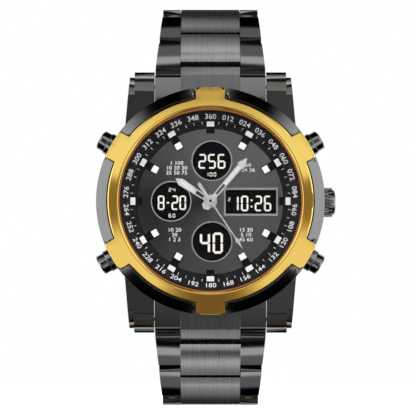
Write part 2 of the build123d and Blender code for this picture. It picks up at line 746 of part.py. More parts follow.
def side_waste(index, half):
    """What lies outside a link's tapering sides."""
    frame = link_plane(index, half)
    outwards = Plane(origin=frame.origin - 5 * frame.y_dir, x_dir=frame.x_dir, z_dir=frame.y_dir)
    near_w, far_w = LINK_HALF_WIDTHS[index:index + 2]
    slope = (far_w - near_w) / PITCH
    near_s, far_s = -2, PITCH
    points = [(near_s, near_w + slope * near_s), (far_s, near_w + slope * far_s), (far_s, 14), (near_s, 14)]
    with BuildPart() as waste:
        for mirror_x in (1, -1):
            extrude(outline(outwards, [(s, mirror_x * x) for s, x in points]), amount=10)
    return waste.part


def make_link(index, half, label):
    """One link: two side pieces from its hinge, a centre piece that reaches the next hinge, and a pin."""
    near_w = LINK_HALF_WIDTHS[index]
    wide = near_w + 1
    side_end = PITCH - FLAT_END
    near_end, far_end, side_crest = crowned(-EAR_TOP, side_end, LINK_OUT, (LINK_EDGE, LINK_EDGE))
    side_points = [*near_end, (-KNUCKLE, 0), (0, -LINK_IN), (side_end, -LINK_IN), *far_end]
    near_end, far_end, centre_crest = crowned(FLAT_END, PITCH + KNUCKLE, CENTRE_OUT, NEAR_BEVEL)
    centre_points = [*near_end, (FLAT_END, -LINK_IN), (PITCH, -LINK_IN), (PITCH + KNUCKLE, 0), *far_end]
    with BuildPart() as link:
        for low, high in ((EAR_IN_X, wide), (-wide, -EAR_IN_X)):
            add(slab(index, half, side_points, low, high, 0.0, crest=side_crest))
        add(slab(index, half, centre_points, -CENTRE_HALF_W, CENTRE_HALF_W, PITCH, crest=centre_crest))
        bridge = [(FLAT_END, -LINK_IN), (side_end, -LINK_IN), (side_end, BRIDGE_OUT), (FLAT_END, BRIDGE_OUT)]
        add(slab(index, half, bridge, -EAR_IN_X - 0.1, EAR_IN_X + 0.1))
        add(side_waste(index, half), mode=Mode.SUBTRACT)
        add(rod(index, half, 0, 0, PIN_R, -wide, wide), mode=Mode.SUBTRACT)
        add(rod(index, half, PITCH, 0, PIN_HOLE_R, -8, 8), mode=Mode.SUBTRACT)
    pin = rod(index, half, 0, 0, PIN_R, -near_w + 0.6, near_w - 0.6)
    keep_group([link.part, pin], label)


def make_end_link(half, label):
    """The block between two lugs, hollowed to the case, with the first hinge on its outer side."""
    y, z = FIRST_HINGE
    h = -y
    top = h + LINK_OUT
    flat_end = z - FLAT_END
    step_z = z - END_STEP
    under = [(22.0, 2.4), (18.5, 2.4)]
    over = [(18.5, top + 1.2), (22.5, top + 0.9)]
    sides = [*over, (flat_end + 0.15, top + 0.2), (flat_end + 0.45, top - 0.1), (flat_end, h),
             (flat_end, h - LINK_IN), *under]
    middle = [*over, (step_z - 0.3, top + 0.2), (step_z, top), (step_z, h), (flat_end, h - LINK_IN), *under]
    stub_end = z + KNUCKLE
    stub = [(22.0, h - LINK_IN), (z, h - LINK_IN), (stub_end, h), (stub_end, h + 1.0),
            (stub_end - LINK_EDGE, h + 1.3), (step_z, h + CENTRE_OUT), (22.0, h + CENTRE_OUT)]
    with BuildPart() as end_link:
        extrude(outline(side(-LUG_IN_X + 0.1), [(half * a, b) for a, b in sides]), amount=2 * LUG_IN_X - 0.2)
        for profile in (middle, stub):
            profile = [(half * a, b) for a, b in profile]
            extrude(outline(side(-CENTRE_HALF_W), profile), amount=2 * CENTRE_HALF_W)
        extrude(spot(side(-CENTRE_HALF_W), (half * z, h), KNUCKLE), amount=2 * CENTRE_HALF_W)
        extrude(ring(face(0), CASE_R + FIT_GAP), amount=12, mode=Mode.SUBTRACT)
        for centre, radius in (((half * BAR_Z, BAR_H), BAR_R), ((half * z, h), PIN_HOLE_R)):
            extrude(spot(side(-20), centre, radius), amount=40, mode=Mode.SUBTRACT)
    keep(end_link, label)


def make_bracelet():
    """Lug bars, end links and the two rows of eight links."""
    with BuildPart() as lug_spring_bars:
        for half in (1, -1):
            for half_length, radius in ((BAR_HALF_L, BAR_R), (BAR_TIP_X, BAR_TIP_R)):
                extrude(spot(side(-half_length), (half * BAR_Z, BAR_H), radius), amount=2 * half_length)
    keep(lug_spring_bars, "lug_spring_bars")
    for half, name in ((1, "12"), (-1, "6")):
        make_end_link(half, f"end_link_{name}")
        for index in range(len(LINK_TILTS)):
            make_link(index, half, f"link_{name}_{index + 1}")


def make_clasp():
    """Folding clasp: inner blade on the 12 o'clock half, middle blade, and cover over both."""
    last = len(LINK_TILTS)
    far = 2 * link_hinge(last)[1]

    ear = [(0, -LINK_IN), (4.5, -LINK_IN), (4.5, BLADE_OUT), (BLADE_EAR_R, 0.6), (0.6, 1.0), (-0.6, 1.0)]
    plate = [(3.0, -LINK_IN), (HINGE_2_S + 0.4, -LINK_IN), (HINGE_2_S + 0.4, BLADE_OUT), (3.0, BLADE_OUT)]
    hinge_ear = [(HINGE_2_S - 1.2, -0.7), (HINGE_2_S + 0.4, -0.7), (HINGE_2_S + 0.4, 0.3),
                 (HINGE_2_S - 0.4, 0.3)]
    with BuildPart() as inner_blade:
        for low, high in ((EAR_IN_X, BLADE_HALF_W), (-BLADE_HALF_W, -EAR_IN_X)):
            add(slab(last, 1, ear, low, high, 0.0, BLADE_EAR_R))
        add(slab(last, 1, plate, -BLADE_HALF_W, BLADE_HALF_W))
        for low, high in ((HINGE_EAR_IN_X, HINGE_EAR_OUT_X), (-HINGE_EAR_OUT_X, -HINGE_EAR_IN_X)):
            add(slab(last, 1, hinge_ear, low, high, HINGE_2_S, CLASP_HINGE_R, CLASP_HINGE_T))
        add(rod(last, 1, 0, 0, PIN_R, -BLADE_HALF_W, BLADE_HALF_W), mode=Mode.SUBTRACT)
        add(rod(last, 1, HINGE_2_S, CLASP_HINGE_T, PIN_R, -7, 7), mode=Mode.SUBTRACT)
    pin = rod(last, 1, 0, 0, PIN_R, -BLADE_HALF_W + 0.2, BLADE_HALF_W - 0.2)
    pin_2 = rod(last, 1, HINGE_2_S, CLASP_HINGE_T, PIN_R, -HINGE_EAR_OUT_X, HINGE_EAR_OUT_X)
    keep_group([inner_blade.part, pin, pin_2], "clasp_inner_blade")

    strip = [(HINGE_1_S, STRIP_IN), (HINGE_2_S, STRIP_IN), (HINGE_2_S, STRIP_OUT), (HINGE_1_S, STRIP_OUT)]
    with BuildPart() as clasp_middle_blade:
        add(slab(last, 1, strip, -MIDDLE_HALF_W, MIDDLE_HALF_W, HINGE_1_S, CLASP_HINGE_R, CLASP_HINGE_T))
        add(rod(last, 1, HINGE_2_S, CLASP_HINGE_T, CLASP_HINGE_R, -MIDDLE_HALF_W, MIDDLE_HALF_W))
        for s in (HINGE_1_S, HINGE_2_S):
            add(rod(last, 1, s, CLASP_HINGE_T, PIN_HOLE_R, -7, 7), mode=Mode.SUBTRACT)
    keep(clasp_middle_blade, "clasp_middle_blade")

    end_s = far - FLAT_END - 0.15
    shoulder = LID_OUT - LID_EDGE
    start = [(LID_START + LID_EDGE, LID_OUT), (LID_START, shoulder)]
    lid = [(LID_START, LID_IN), (end_s, LID_IN), (end_s, shoulder), (end_s - LID_EDGE, LID_OUT), *start]
    wall = [(LID_START, -1.1), (far, -LINK_IN), (far + KNUCKLE, 0), (far + KNUCKLE, shoulder),
            (far + KNUCKLE - LID_EDGE, LID_OUT), *start]
    hang = [(HINGE_1_S - 0.6, 0.3), (HINGE_1_S + 0.6, 0.3), (HINGE_1_S + 1.0, LID_IN + 0.1),
            (HINGE_1_S - 1.0, LID_IN + 0.1)]
    with BuildPart() as cover:
        add(slab(last, 1, lid, -COVER_HALF_W, COVER_HALF_W))
        for low, high in ((WALL_IN_X, COVER_HALF_W), (-COVER_HALF_W, -WALL_IN_X)):
            add(slab(last, 1, wall, low, high, far))
        for low, high in ((HINGE_EAR_IN_X, HINGE_EAR_OUT_X), (-HINGE_EAR_OUT_X, -HINGE_EAR_IN_X)):
            add(slab(last, 1, hang, low, high, HINGE_1_S, CLASP_HINGE_R, CLASP_HINGE_T))
        add(rod(last, 1, HINGE_1_S, CLASP_HINGE_T, PIN_R, -7, 7), mode=Mode.SUBTRACT)
        add(rod(last, 1, far, 0, PIN_R, -COVER_HALF_W + 0.6, COVER_HALF_W - 0.6), mode=Mode.SUBTRACT)
    pin = rod(last, 1, HINGE_1_S, CLASP_HINGE_T, PIN_R, -HINGE_EAR_OUT_X, HINGE_EAR_OUT_X)
    keep_group([cover.part, pin], "clasp_cover")

    with BuildPart() as clasp_spring_bar:
        add(rod(last, -1, 0, 0, PIN_HOLE_R, -CENTRE_HALF_W, CENTRE_HALF_W))
    keep(clasp_spring_bar, "clasp_spring_bar")


make_case_middle()
make_bezel()
make_crystal()
make_dial()
make_movement()
make_train()
make_hands()
make_back()
make_crown()
make_pushers()
make_bracelet()
make_clasp()
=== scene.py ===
"""An analogue-digital wristwatch on its bracelet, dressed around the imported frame.

The dial faces -Y, 12 o'clock is +Z and 3 o'clock is +X. New pieces are modelled
flat in millimetres and then set on the dial, so sizes here are millimetres.
A height is measured from the case back towards the viewer, which is along -Y.
"""
from __future__ import annotations

import json
import logging
import math
from dataclasses import dataclass
from enum import Enum

import bpy
from mathutils import Matrix, Vector

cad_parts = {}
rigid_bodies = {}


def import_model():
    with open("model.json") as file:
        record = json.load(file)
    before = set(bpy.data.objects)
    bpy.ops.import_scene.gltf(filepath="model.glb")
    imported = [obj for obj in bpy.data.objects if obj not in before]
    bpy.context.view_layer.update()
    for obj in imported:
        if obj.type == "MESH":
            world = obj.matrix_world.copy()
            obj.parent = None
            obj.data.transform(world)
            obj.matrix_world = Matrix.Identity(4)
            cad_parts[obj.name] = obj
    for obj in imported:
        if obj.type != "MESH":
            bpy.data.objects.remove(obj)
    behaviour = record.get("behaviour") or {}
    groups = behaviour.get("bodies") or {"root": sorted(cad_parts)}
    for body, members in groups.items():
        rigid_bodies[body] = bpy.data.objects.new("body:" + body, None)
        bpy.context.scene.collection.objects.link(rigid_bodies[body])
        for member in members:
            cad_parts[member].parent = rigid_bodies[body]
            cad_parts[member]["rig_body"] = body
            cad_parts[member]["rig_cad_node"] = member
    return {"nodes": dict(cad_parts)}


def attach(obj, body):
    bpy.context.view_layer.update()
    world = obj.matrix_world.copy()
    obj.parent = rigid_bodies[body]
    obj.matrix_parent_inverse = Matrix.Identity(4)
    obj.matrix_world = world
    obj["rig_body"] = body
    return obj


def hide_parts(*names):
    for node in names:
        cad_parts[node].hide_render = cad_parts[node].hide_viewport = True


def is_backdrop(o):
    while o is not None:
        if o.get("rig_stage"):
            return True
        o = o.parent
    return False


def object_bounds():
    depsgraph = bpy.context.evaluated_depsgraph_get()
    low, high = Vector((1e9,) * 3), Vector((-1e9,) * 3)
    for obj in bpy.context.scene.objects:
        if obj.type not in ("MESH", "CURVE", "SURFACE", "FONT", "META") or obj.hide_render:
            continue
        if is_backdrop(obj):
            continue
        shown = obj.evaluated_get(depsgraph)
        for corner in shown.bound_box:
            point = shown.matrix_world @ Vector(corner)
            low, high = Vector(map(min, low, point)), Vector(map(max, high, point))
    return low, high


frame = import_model()

logging.basicConfig(level=logging.INFO, format="%(message)s")
LOG = logging.getLogger("watch")

Piece = bpy.types.Object
Socket = bpy.types.NodeSocket
Triple = tuple[float, float, float]

MM = 0.001

# From one minute or hour of the dial to the next, in degrees.
MINUTE = 6.0
HOUR = 30.0

# The relief of brushed metal and of coatings, in metres.
BRUSHED_RELIEF = 0.00002
COATED_RELIEF = 0.00001

# The scale of the brushing along its lines and across them, for each of a metal's lines.
LINE_LENGTH = 0.04
LINE_WIDTH = 4.0
HOOP_WIDTH = 8.0

# The scale of circular brushing along its lines, for each radian.
HOOP_BREAKS = 3.0

# How strong the finer layers of brushing are, and how far a metal's roughness varies.
BRUSH_LAYERS = 0.6
METAL_BLUR = (0.8, 1.25)


class Grain(Enum):
    """The way the brushing runs on a metal."""

    ACROSS = "along X"
    HOOPS = "circles round the middle of the dial"


class Row(Enum):
    """Which way the tops of the printed numbers point, as a turn in degrees."""

    OUTWARD = 0.0
    INWARD = 180.0


@dataclass(frozen=True)
class Step:
    """A smooth rise to a height, or a fall where the end lies below the start."""

    start: float
    end: float
    height: float = 1.0


@dataclass(frozen=True)
class Band:
    """A stretch of values between a soft rise and a soft fall."""

    low: float
    high: float
    soft: float
    height: float = 1.0


class Graph:
    """A node tree under construction, with short calls to add and join its nodes."""

    def __init__(self, tree: bpy.types.NodeTree) -> None:
        """Keep the tree that the nodes go into."""
        self.tree = tree

    def node(self, kind: str, **inputs: object) -> bpy.types.Node:
        """Add a node and fill its sockets.

        Args:
            kind: The node's type name without the ShaderNode prefix.
            inputs: Socket names with a value, or another node's output.

        Returns:
            The new node.
        """
        made = self.tree.nodes.new("ShaderNode" + kind)
        for label, value in inputs.items():
            self.feed(made, label.replace("_", " "), value)
        return made

    def feed(self, target: bpy.types.Node, label: str, value: object) -> None:
        """Set a socket to a value, or link it to another node's output.

        Args:
            target: The node whose socket is filled.
            label: The socket's name, or its place as digits.
            value: A number, a colour or an output socket.
        """
        socket = target.inputs[int(label)] if label.isdigit() else target.inputs[label]
        if isinstance(value, Socket):
            self.tree.links.new(value, socket)
        else:
            socket.default_value = value

    def math(self, operation: str, first: object, second: object = 0.0) -> Socket:
        """Add a sum of two values.

        Args:
            operation: Blender's name for the sum.
            first: A number or an output socket.
            second: A number or an output socket.

        Returns:
            The sum's output.
        """
        made = self.tree.nodes.new("ShaderNodeMath")
        made.operation = operation
        self.feed(made, "0", first)
        self.feed(made, "1", second)
        return made.outputs[0]

    def times(self, first: object, second: object) -> Socket:
        """Return the product of two values."""
        return self.math("MULTIPLY", first, second)

    def total(self, *values: object) -> Socket:
        """Return the sum of several numbers or output sockets."""
        result = values[0]
        for value in values[1:]:
            result = self.math("ADD", result, value)
        return result

    def length(self, first: Socket, second: Socket) -> Socket:
        """Return how far two legs at right angles reach."""
        return self.math("SQRT", self.total(self.math("POWER", first, 2.0), self.math("POWER", second, 2.0)))

    def ramp(self, value: Socket, stops: list[tuple[float, tuple[float, ...]]]) -> Socket:
        """Add a colour ramp.

        Args:
            value: The output socket that drives it.
            stops: Two pairs of a position and a colour.

        Returns:
            The ramp's colour output.
        """
        made = self.tree.nodes.new("ShaderNodeValToRGB")
        for element, (position, colour) in zip(made.color_ramp.elements, stops):
            element.position = position
            element.color = colour
        self.feed(made, "Fac", value)
        return made.outputs["Color"]

    def noise(self, places: Socket, scale: float = 1.0, detail: float = 2.0, rough: float = 0.5) -> Socket:
        """Return a noise of 0 to 1 over the coordinates, with its scale and its finer layers."""
        made = self.node("TexNoise", Vector=places, Scale=scale, Detail=detail, Roughness=rough)
        return made.outputs["Fac"]

    def places(self) -> Socket:
        """Return the piece's own coordinates, in metres."""
        return self.node("TexCoord").outputs["Object"]

    def spread(self, value: Socket, low: float, high: float) -> Socket:
        """Return a value of 0 to 1 stretched over a range."""
        return self.node("MapRange", Value=value, To_Min=low, To_Max=high).outputs["Result"]

    def step(self, value: Socket, step: Step) -> Socket:
        """Rise or fall smoothly as a value grows.

        Args:
            value: The output socket to follow.
            step: Where the step lies and how high it is.

        Returns:
            The smooth step.
        """
        made = self.node("MapRange", Value=value, From_Min=step.start, From_Max=step.end, To_Max=step.height)
        made.interpolation_type = "SMOOTHSTEP"
        return made.outputs["Result"]

    def band(self, value: Socket, band: Band) -> Socket:
        """Make a band with soft edges.

        Args:
            value: The output socket to follow.
            band: Where the band lies, how soft it is and how high.

        Returns:
            The band.
        """
        half = band.soft / 2
        rise = self.step(value, Step(band.low - half, band.low + half, band.height))
        fall = self.step(value, Step(band.high + half, band.high - half))
        return self.times(rise, fall)


class Shader(Graph):
    """A material under construction."""

    def __init__(self, name: str) -> None:
        """Start a material of a name."""
        self.material = bpy.data.materials.new(name)
        self.material.use_nodes = True
        super().__init__(self.material.node_tree)
        self.surface = self.tree.nodes["Principled BSDF"]

    def give(self, label: str, value: object) -> None:
        """Fill a socket of the surface shader."""
        self.feed(self.surface, label, value)

    def brush(self, places: Socket, detail: float = 3.0) -> Socket:
        """Return the fine noise of brushed lines."""
        return self.noise(places, detail=detail, rough=BRUSH_LAYERS)

    def vary(self, value: Socket, colour: Triple, contrast: float, reach: float = 0.2) -> Socket:
        """Vary a colour between a darker and a lighter one.

        Args:
            value: A value of 0 to 1 that drives it.
            colour: The middle colour.
            contrast: How much darker and lighter it gets, as a share.
            reach: How far from 0.5 the value gives the darkest and the lightest colour.

        Returns:
            The colour's output.
        """
        dark = tint(colour, 1.0 - contrast)
        light = tint(colour, 1.0 + contrast)
        return self.ramp(value, [(0.5 - reach, dark), (0.5 + reach, light)])

    def blur(self, value: Socket, roughness: float, low: float = 0.9, high: float = 1.1) -> None:
        """Vary the surface's roughness between two shares of it, driven by a value of 0 to 1."""
        self.give("Roughness", self.spread(value, roughness * low, min(1.0, roughness * high)))

    def relief(self, height: Socket, strength: object, distance: float = BRUSHED_RELIEF) -> None:
        """Raise the surface where a value of 0 to 1 is high, by up to a distance in metres."""
        bump = self.node("Bump", Strength=strength, Distance=distance, Height=height)
        self.give("Normal", bump.outputs[0])


def grey(level: float) -> tuple[float, float, float, float]:
    """Return a neutral colour."""
    return (level, level, level, 1.0)


def tint(colour: Triple, share: float) -> tuple[float, ...]:
    """Return a darker or lighter shade of a colour."""
    return tuple(min(1.0, part * share) for part in colour) + (1.0,)


@dataclass(frozen=True)
class Metal:
    """A coated or bare metal with fine brushing or a light polish."""

    name: str
    colour: Triple
    roughness: float
    grain: Grain = Grain.ACROSS
    lines: float = 900.0
    depth: float = 0.15
    contrast: float = 0.25
    metallic: float = 1.0

    def grain_value(self, shader: Shader) -> Socket:
        """Return a value of 0 to 1 that follows the brushed lines."""
        places = shader.places()
        if self.grain is Grain.ACROSS:
            across = self.lines * LINE_WIDTH
            mapping = shader.node("Mapping", Vector=places, Scale=(self.lines * LINE_LENGTH, across, across))
            return shader.brush(mapping.outputs[0])
        parts = shader.node("SeparateXYZ", Vector=places)
        x, z = parts.outputs["X"], parts.outputs["Z"]
        around = shader.times(shader.math("ARCTAN2", z, x), HOOP_BREAKS)
        outwards = shader.times(shader.length(x, z), self.lines * HOOP_WIDTH)
        return shader.brush(shader.node("CombineXYZ", X=around, Y=outwards).outputs[0])

    def make(self) -> bpy.types.Material:
        """Build and return the material."""
        shader = Shader(self.name)
        value = self.grain_value(shader)
        shader.give("Base Color", shader.vary(value, self.colour, self.contrast))
        shader.give("Metallic", self.metallic)
        shader.blur(value, self.roughness, *METAL_BLUR)
        shader.relief(value, self.depth)
        return shader.material


@dataclass(frozen=True)
class SunrayDial:
    """Dark grey brushed from the middle outwards, with a painted sheen: the lighter fan that such brushing
    shows under light, painted into its colour.

    The painted sheen grows along 12 and 6 o'clock (upright), and painted light makes it grow towards 3
    o'clock (right) and towards 12 (above).
    """

    name: str
    dark: float = 0.1
    light: float = 0.48
    roughness: float = 0.36
    depth: float = 0.15
    spokes: float = 110.0
    breaks: float = 160.0
    middle: float = 0.0001
    painted_sheen_upright: float = 0.5
    right: float = 0.35
    above: float = 0.25
    uneven: float = 0.2
    painted_sheen_low: float = -0.3
    painted_sheen_high: float = 0.75

    def make(self) -> bpy.types.Material:
        """Build and return the material."""
        shader = Shader(self.name)
        parts = shader.node("SeparateXYZ", Vector=shader.places())
        x, z = parts.outputs["X"], parts.outputs["Z"]
        radius = shader.math("MAXIMUM", shader.length(x, z), self.middle)
        around = shader.times(shader.math("ARCTAN2", z, x), self.spokes)
        spot = shader.node("CombineXYZ", X=around, Y=shader.times(radius, self.breaks))
        value = shader.brush(spot.outputs[0])
        # Painted sheen and painted light: the colour gets lighter along 12 and 6 o'clock, towards 3 o'clock
        # and towards 12.
        painted_sheen_upright = shader.times(shader.math("ABSOLUTE", z), self.painted_sheen_upright)
        painted_sheen = shader.total(painted_sheen_upright, shader.times(x, self.right), shader.times(z, self.above))
        painted_sheen = shader.math("DIVIDE", painted_sheen, radius)
        painted_sheen = shader.total(painted_sheen, shader.spread(value, -self.uneven, self.uneven))
        colour = shader.node("MapRange", Value=painted_sheen, From_Min=self.painted_sheen_low, From_Max=self.painted_sheen_high,
                             To_Min=self.dark, To_Max=self.light)
        shader.give("Base Color", colour.outputs["Result"])
        shader.give("Metallic", 1.0)
        shader.blur(value, self.roughness)
        shader.relief(value, self.depth)
        return shader.material


@dataclass(frozen=True)
class LinkMetal:
    """Black coated steel whose centre band is brushed and whose sides are polished."""

    name: str
    half_width: float = 6.41
    centre: Triple = (0.36, 0.36, 0.362)
    sides: Triple = (0.17, 0.17, 0.172)
    contrast: float = 0.25
    centre_roughness: float = 0.27
    side_roughness: float = 0.1
    uneven: float = 0.04
    centre_depth: float = 0.16
    side_depth: float = 0.02
    lines: Triple = (9000.0, 90.0, 90.0)
    detail: float = 4.0

    def make(self) -> bpy.types.Material:
        """Build and return the material."""
        shader = Shader(self.name)
        places = shader.places()
        parts = shader.node("SeparateXYZ", Vector=places)
        off_middle = shader.math("ABSOLUTE", parts.outputs["X"])
        is_side = shader.math("GREATER_THAN", off_middle, self.half_width * MM)
        mapping = shader.node("Mapping", Vector=places, Scale=self.lines)
        value = shader.brush(mapping.outputs[0], self.detail)
        colour = shader.node("Mix", Factor=is_side)
        colour.data_type = "RGBA"
        shader.feed(colour, "6", shader.vary(value, self.centre, self.contrast))
        shader.feed(colour, "7", self.sides + (1.0,))
        shader.give("Base Color", colour.outputs[2])
        shader.give("Metallic", 1.0)
        rough = shader.spread(is_side, self.centre_roughness, self.side_roughness)
        shader.give("Roughness", shader.total(rough, shader.spread(value, -self.uneven, self.uneven)))
        shader.relief(value, shader.spread(is_side, self.centre_depth, self.side_depth))
        return shader.material


@dataclass(frozen=True)
class Coating:
    """Paint, plastic, rubber or print: no metal, with a faint mottle, and on some a painted glow."""

    name: str
    colour: Triple
    roughness: float = 0.5
    mottle: float = 0.08
    painted_glow: float = 0.0
    shine: float = 0.5
    fineness: float = 2500.0
    reach: float = 0.15
    depth: float = 0.05

    def make(self) -> bpy.types.Material:
        """Build and return the material."""
        shader = Shader(self.name)
        value = shader.noise(shader.places(), self.fineness)
        shader.give("Base Color", shader.vary(value, self.colour, self.mottle, self.reach))
        shader.blur(value, self.roughness)
        shader.give("Specular IOR Level", self.shine)
        # Painted glow: an emission that makes the piece glow though it is no lamp.
        if self.painted_glow:
            shader.give("Emission Color", self.colour + (1.0,))
            shader.give("Emission Strength", self.painted_glow)
        shader.relief(value, self.depth, COATED_RELIEF)
        return shader.material


@dataclass(frozen=True)
class ClearGlass:
    """The flat crystal: almost invisible from the front, with a thin sheen."""

    name: str
    tone: tuple[float, float, float, float] = (0.02, 0.021, 0.024, 1.0)
    solidity: float = 0.07
    fineness: float = 400.0
    detail: float = 1.0
    roughness: tuple[float, float] = (0.01, 0.03)

    def make(self) -> bpy.types.Material:
        """Build and return the material."""
        shader = Shader(self.name)
        value = shader.noise(shader.places(), self.fineness, self.detail)
        shader.give("Base Color", self.tone)
        shader.give("Roughness", shader.spread(value, *self.roughness))
        shader.give("Alpha", self.solidity)
        return shader.material


# What the polished, the painted and the circular brushed metals share.
POLISH = {"lines": 300.0, "roughness": 0.1}
PAINT = {"lines": 500.0, "depth": 0.03}
CIRCLES = {"grain": Grain.HOOPS, "roughness": 0.12}


class Finishes:
    """Every finish of the watch, made once and looked up by its name."""

    def __init__(self) -> None:
        """Build all the materials."""
        finishes = [
            Metal("case_polish", (0.2, 0.2, 0.202), depth=0.01, contrast=0.05, **POLISH),
            Metal("bezel_black", (0.19, 0.19, 0.192), contrast=0.06, depth=0.02, **CIRCLES),
            Metal("bezel_gold", (1.0, 0.7, 0.17), contrast=0.03, depth=0.01, **CIRCLES),
            SunrayDial("sunray_grey"),
            Metal("button_black", (0.3, 0.3, 0.302), depth=0.02, contrast=0.06, **POLISH),
            Metal("hand_silver", (0.74, 0.74, 0.75), 0.3, contrast=0.03, metallic=0.3, **PAINT),
            Metal("frame_silver", (0.5, 0.5, 0.51), 0.25, contrast=0.05, metallic=0.5, **PAINT),
            Metal("silver", (0.85, 0.85, 0.86), 0.2, contrast=0.05, metallic=0.5, **PAINT),
            Metal("steel_back", (0.5, 0.5, 0.52), 0.3, Grain.HOOPS, contrast=0.2),
            Metal("steel_bright", (0.6, 0.6, 0.62), 0.25, contrast=0.12),
            Metal("brass", (0.8, 0.62, 0.3), 0.3, contrast=0.12),
            Metal("copper", (0.75, 0.38, 0.2), 0.35, contrast=0.2),
            Metal("blade_steel", (0.4, 0.4, 0.42), 0.3, contrast=0.2),
            LinkMetal("link_black"),
            LinkMetal("end_link_black", centre=(0.24, 0.24, 0.242), sides=(0.28, 0.28, 0.282)),
            Coating("chapter_black", (0.01, 0.01, 0.011), 0.55, shine=0.25),
            Coating("marker_gloss", (0.004, 0.004, 0.004), 0.3, 0.03, shine=0.1),
            Coating("display_black", (0.002, 0.002, 0.002), 0.4, 0.03, shine=0.05),
            # The cream digits, the white print and the white lume end with a painted glow.
            Coating("digit_cream", (0.86, 0.83, 0.74), 0.6, 0.02, 0.12),
            Coating("seal_amber", (0.3, 0.095, 0.012), 0.45),
            Coating("print_white", (0.86, 0.86, 0.86), 0.7, 0.03, 0.05),
            Coating("lume_white", (0.9, 0.91, 0.92), 0.7, 0.04, 0.08),
            Coating("hand_lume", (0.7, 0.7, 0.71), 0.7, 0.03),
            Coating("seal_rubber", (0.02, 0.02, 0.02), 0.7),
            Coating("holder_plastic", (0.7, 0.7, 0.66), 0.5),
            Coating("board_green", (0.02, 0.16, 0.06), 0.4, 0.2),
            ClearGlass("crystal_clear"),
        ]
        self.made = {finish.name: finish.make() for finish in finishes}

    def dress(self, piece: Piece, finish: str) -> None:
        """Give a piece one finish all over."""
        piece.data.materials.clear()
        piece.data.materials.append(self.made[finish])

    def dress_nodes(self, plain: dict[str, str]) -> None:
        """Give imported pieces, as they are, the finish that is listed for each node."""
        for node, finish in plain.items():
            self.dress(frame["nodes"][node], finish)
        LOG.info("dressed %s", ", ".join(plain))

    def mount(self, pieces: list[Piece], name: str, finish: str, body: str, slot: str) -> None:
        """Join pieces, dress them and fix them to a body.

        Args:
            pieces: The pieces in their places.
            name: The name of the result.
            finish: Its finish.
            body: The body that it rides on.
            slot: The record's material slot; not used.
        """
        piece = Bench.join(pieces, name)
        self.dress(piece, finish)
        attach(piece, body)
        LOG.info("made %s", name)


